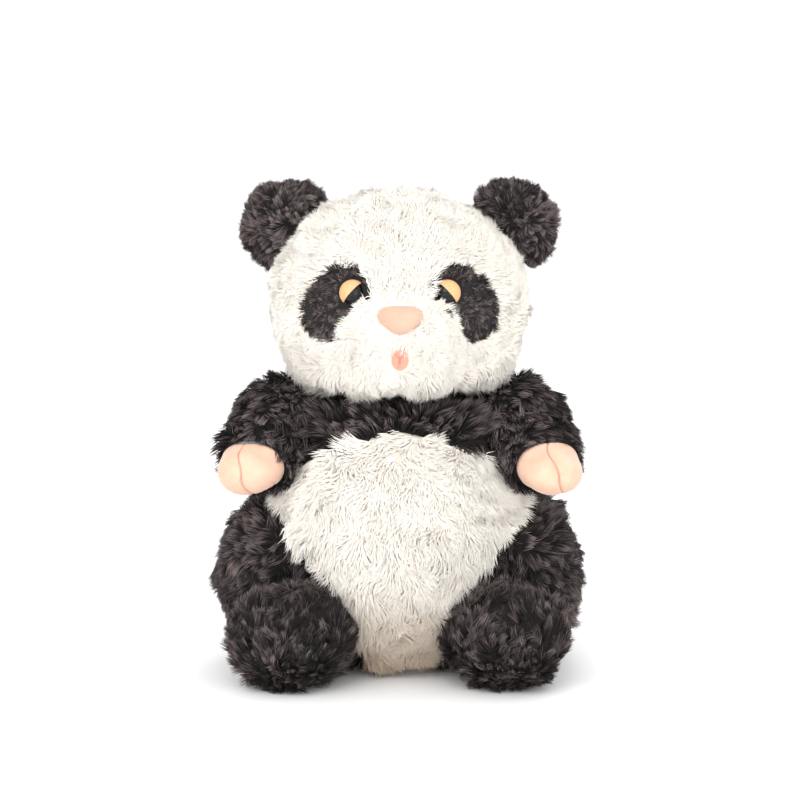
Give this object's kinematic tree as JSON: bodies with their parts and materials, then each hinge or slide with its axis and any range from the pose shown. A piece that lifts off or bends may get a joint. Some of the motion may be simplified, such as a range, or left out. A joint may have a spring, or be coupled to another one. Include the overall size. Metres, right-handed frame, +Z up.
{
  "type": "plush panda",
  "caption": "Seated plush panda with jointed head, ears, arms and legs, long-pile fur panels, suede nose and paws, and domed eyes under eyelids.",
  "frame": {"origin": "on the floor, under the middle of the toy", "axes": "+Z up, the face looks along -Y, +X to the right of somebody who looks at the face"},
  "size_m": [0.204, 0.184, 0.27],
  "materials": {
    "black_plush": "matte",
    "black_short_plush": "matte",
    "white_plush": "matte",
    "white_long_plush": "matte",
    "peach_suede": "matte",
    "tan_plastic": "satin",
    "eye_plastic": "gloss",
    "washer_plastic": "matte",
    "filling_fibre": "matte",
    "filling_pellets": "matte",
    "lining_cloth": "matte",
    "label_satin": "satin"
  },
  "bodies": {
    "torso": {"back_panel_left": "black_plush", "back_panel_right": "black_plush", "belly_panel": "white_long_plush", "pellet_fill": "filling_pellets", "pellet_pouch": "lining_cloth", "seat_panel": "black_plush", "sewn_label": "label_satin", "tail": "white_plush", "torso_stuffing": "filling_fibre"},
    "neck": {"neck_seam_ring": "lining_cloth", "neck_stuffing": "filling_fibre"},
    "head": {"ear_seam_left": "lining_cloth", "ear_seam_right": "lining_cloth", "eye_left": "eye_plastic", "eye_patch_left": "black_short_plush", "eye_patch_right": "black_short_plush", "eye_right": "eye_plastic", "eye_washer_left": "washer_plastic", "eye_washer_right": "washer_plastic", "eyelid_left": "tan_plastic", "eyelid_right": "tan_plastic", "face_panel": "white_plush", "head_back_left": "white_plush", "head_back_right": "white_plush", "head_stuffing": "filling_fibre", "mouth_pocket": "peach_suede", "muzzle_panel": "white_plush", "nose": "peach_suede"},
    "ear_left": {"ear_back_left": "black_plush", "ear_front_left": "black_plush"},
    "ear_right": {"ear_back_right": "black_plush", "ear_front_right": "black_plush"},
    "arm_left": {"arm_sleeve_left": "black_plush", "arm_stuffing_left": "filling_fibre", "paw_inner_left": "peach_suede", "paw_outer_left": "peach_suede"},
    "arm_right": {"arm_sleeve_right": "black_plush", "arm_stuffing_right": "filling_fibre", "paw_inner_right": "peach_suede", "paw_outer_right": "peach_suede"},
    "leg_left": {"foot_back_left": "black_plush", "foot_front_left": "black_plush", "foot_stuffing_left": "filling_fibre", "haunch_inner_left": "black_plush", "haunch_outer_left": "black_plush", "haunch_stuffing_left": "filling_fibre"},
    "leg_right": {"foot_back_right": "black_plush", "foot_front_right": "black_plush", "foot_stuffing_right": "filling_fibre", "haunch_inner_right": "black_plush", "haunch_outer_right": "black_plush", "haunch_stuffing_right": "filling_fibre"}
  },
  "joints": [
    {"name": "head_turn", "type": "hinge", "parent": "torso", "child": "neck", "pos_m": [0, 0.004, 0.1515], "axis": [0, 0, 1], "range_deg": [-25, 25], "stiffness_Nm_per_rad": 0.3},
    {"name": "head_nod", "type": "hinge", "parent": "neck", "child": "head", "pos_m": [0, 0.004, 0.1515], "axis": [1, 0, 0], "range_deg": [-8, 7], "stiffness_Nm_per_rad": 0.8},
    {"name": "ear_fold_left", "type": "hinge", "parent": "head", "child": "ear_left", "pos_m": [-0.0535, 0.006, 0.237], "axis": [0.7071, 0, 0.7071], "range_deg": [-15, 15], "stiffness_Nm_per_rad": 0.02},
    {"name": "arm_lift_left", "type": "hinge", "parent": "torso", "child": "arm_left", "pos_m": [-0.062, -0.002, 0.132], "axis": [-1, 0, 0], "range_deg": [-8, 40], "stiffness_Nm_per_rad": 0.3},
    {"name": "leg_spread_left", "type": "hinge", "parent": "torso", "child": "leg_left", "pos_m": [-0.063, 0.001, 0.049], "axis": [0, 0, -1], "range_deg": [0, 25], "stiffness_Nm_per_rad": 0.3},
    {"name": "ear_fold_right", "type": "hinge", "parent": "head", "child": "ear_right", "pos_m": [0.0535, 0.006, 0.237], "axis": [-0.7071, 0, 0.7071], "range_deg": [-15, 15], "stiffness_Nm_per_rad": 0.02},
    {"name": "arm_lift_right", "type": "hinge", "parent": "torso", "child": "arm_right", "pos_m": [0.062, -0.002, 0.132], "axis": [-1, 0, 0], "range_deg": [-8, 40], "stiffness_Nm_per_rad": 0.3},
    {"name": "leg_spread_right", "type": "hinge", "parent": "torso", "child": "leg_right", "pos_m": [0.063, 0.001, 0.049], "axis": [0, 0, 1], "range_deg": [0, 25], "stiffness_Nm_per_rad": 0.3}
  ]
}
